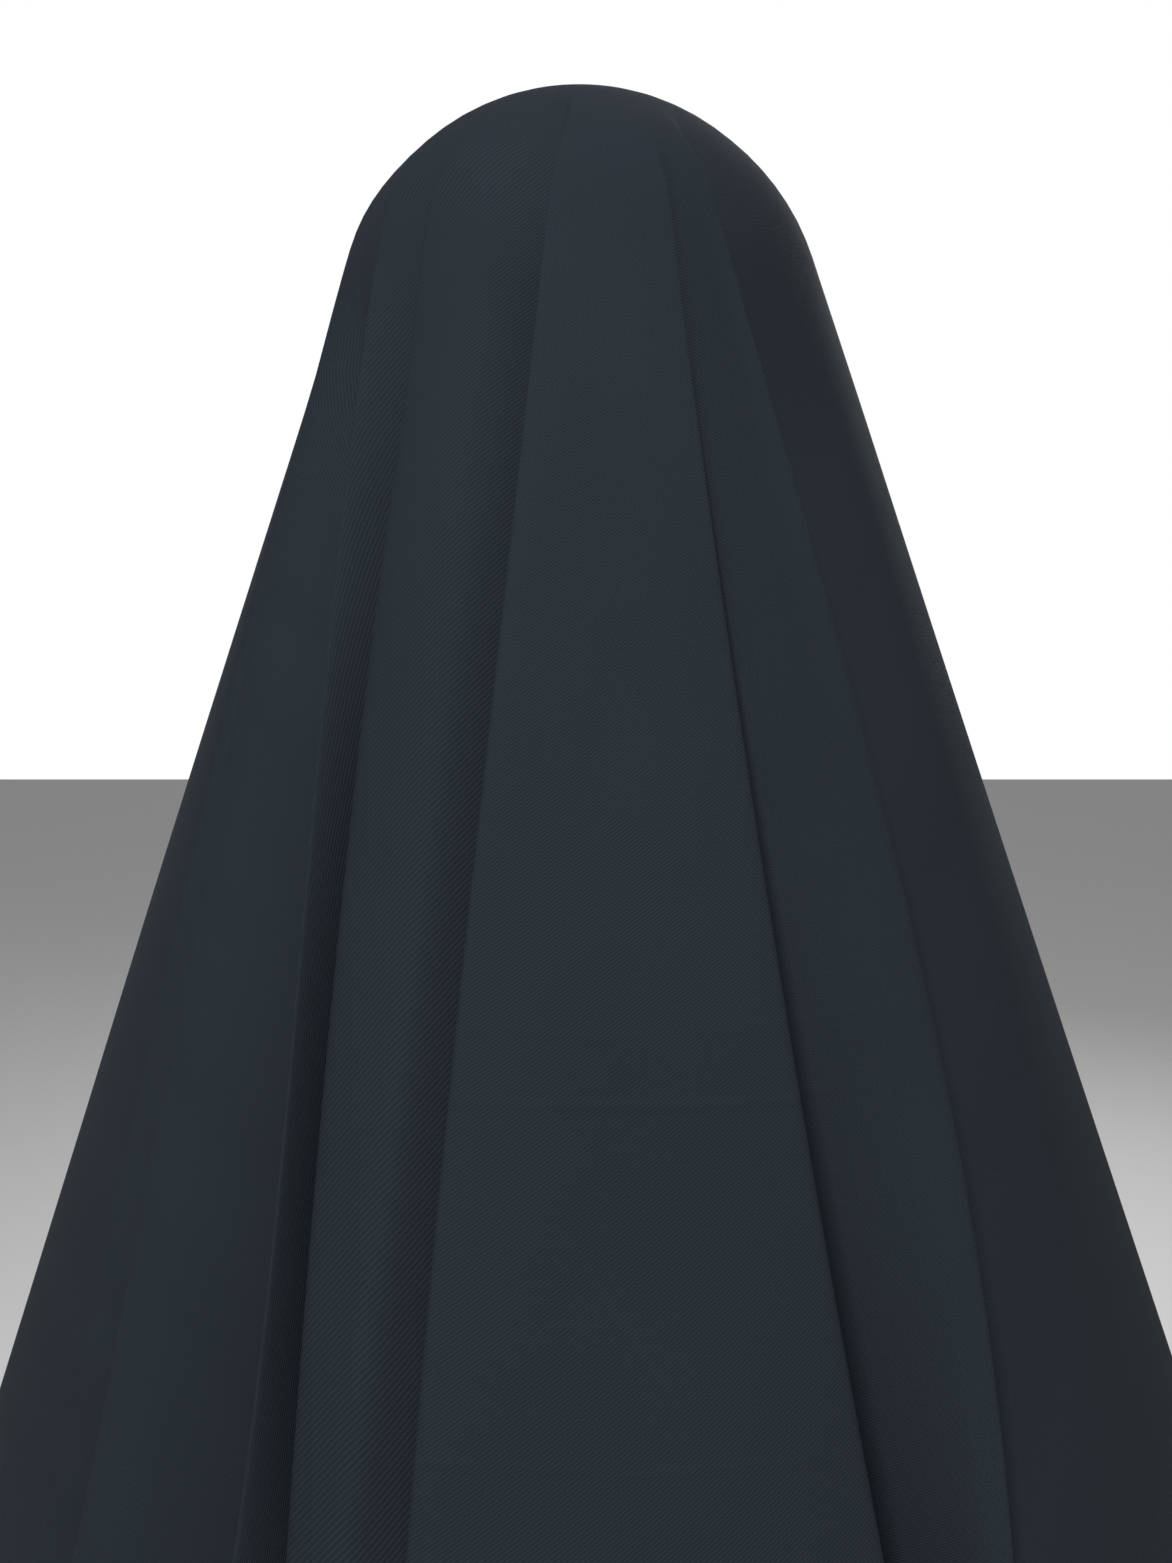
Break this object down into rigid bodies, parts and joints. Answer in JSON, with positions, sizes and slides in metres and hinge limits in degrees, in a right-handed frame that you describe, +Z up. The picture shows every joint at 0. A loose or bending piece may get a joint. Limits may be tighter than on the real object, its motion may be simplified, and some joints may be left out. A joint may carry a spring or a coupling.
{
  "type": "barber cape on display stand",
  "caption": "Dark twill salon cape draped in deep folds over a canvas block head on a telescoping round-base stand.",
  "frame": {"origin": "on the floor, under the centre of the stand's base", "axes": "+Z up the mast; -Y is the front of the drape; +X is its right as seen from the front"},
  "size_m": [0.4892, 0.6035, 1.004],
  "materials": {
    "cape_twill": "matte worsted twill, woven",
    "band_twill": "matte twill, doubled and topstitched",
    "label_satin": "blank woven satin",
    "snap_metal": "gunmetal-plated brass, satin",
    "canvas": "unbleached cotton canvas",
    "core": "cork composition",
    "nylon": "natural nylon, machined",
    "black_paint": "black powder coat, fine texture",
    "chrome": "bright chrome plate",
    "zinc_steel": "zinc-plated steel",
    "black_plastic": "black moulded nylon",
    "rubber": "black rubber"
  },
  "bodies": {
    "stand": {"base_plate": "black_paint", "base_feet": "rubber", "base_bolt": "zinc_steel", "base_washer": "zinc_steel", "tube_plug": "zinc_steel", "base_collar": "black_paint", "lower_tube": "black_paint", "guide_bush": "nylon", "clamp_collar": "black_plastic"},
    "clamp": {"clamp_screw": "zinc_steel", "clamp_knob": "black_plastic", "clamp_pad": "nylon"},
    "mast": {"upper_tube": "chrome", "mast_end_cap": "black_plastic", "swivel_spigot": "zinc_steel"},
    "head": {"head_block": "core", "head_cover": "canvas", "head_flange": "zinc_steel", "head_bush": "nylon", "flange_screws": "zinc_steel"},
    "cape": {"cape_panel": "cape_twill", "neckband": "band_twill", "snap_caps": "snap_metal", "snap_sockets": "snap_metal", "snap_studs": "snap_metal", "snap_posts": "snap_metal", "hang_loop": "band_twill", "care_label": "label_satin"}
  },
  "joints": [
    {"name": "clamp_turn", "type": "hinge", "parent": "stand", "child": "clamp", "pos_m": [0, 0.03, 0.563], "axis": [0, 1, 0], "range_deg": [-720, 0]},
    {"name": "mast_height", "type": "slide", "parent": "stand", "child": "mast", "axis": [0, 0, 1], "range_m": [0, 0.2]},
    {"name": "head_swivel", "type": "hinge", "parent": "mast", "child": "head", "pos_m": [0, 0, 0.8], "axis": [0, 0, 1], "continuous": true},
    {"name": "cape_lift", "type": "slide", "parent": "head", "child": "cape", "axis": [0, 0, 1], "range_m": [0, 0.85]}
  ]
}
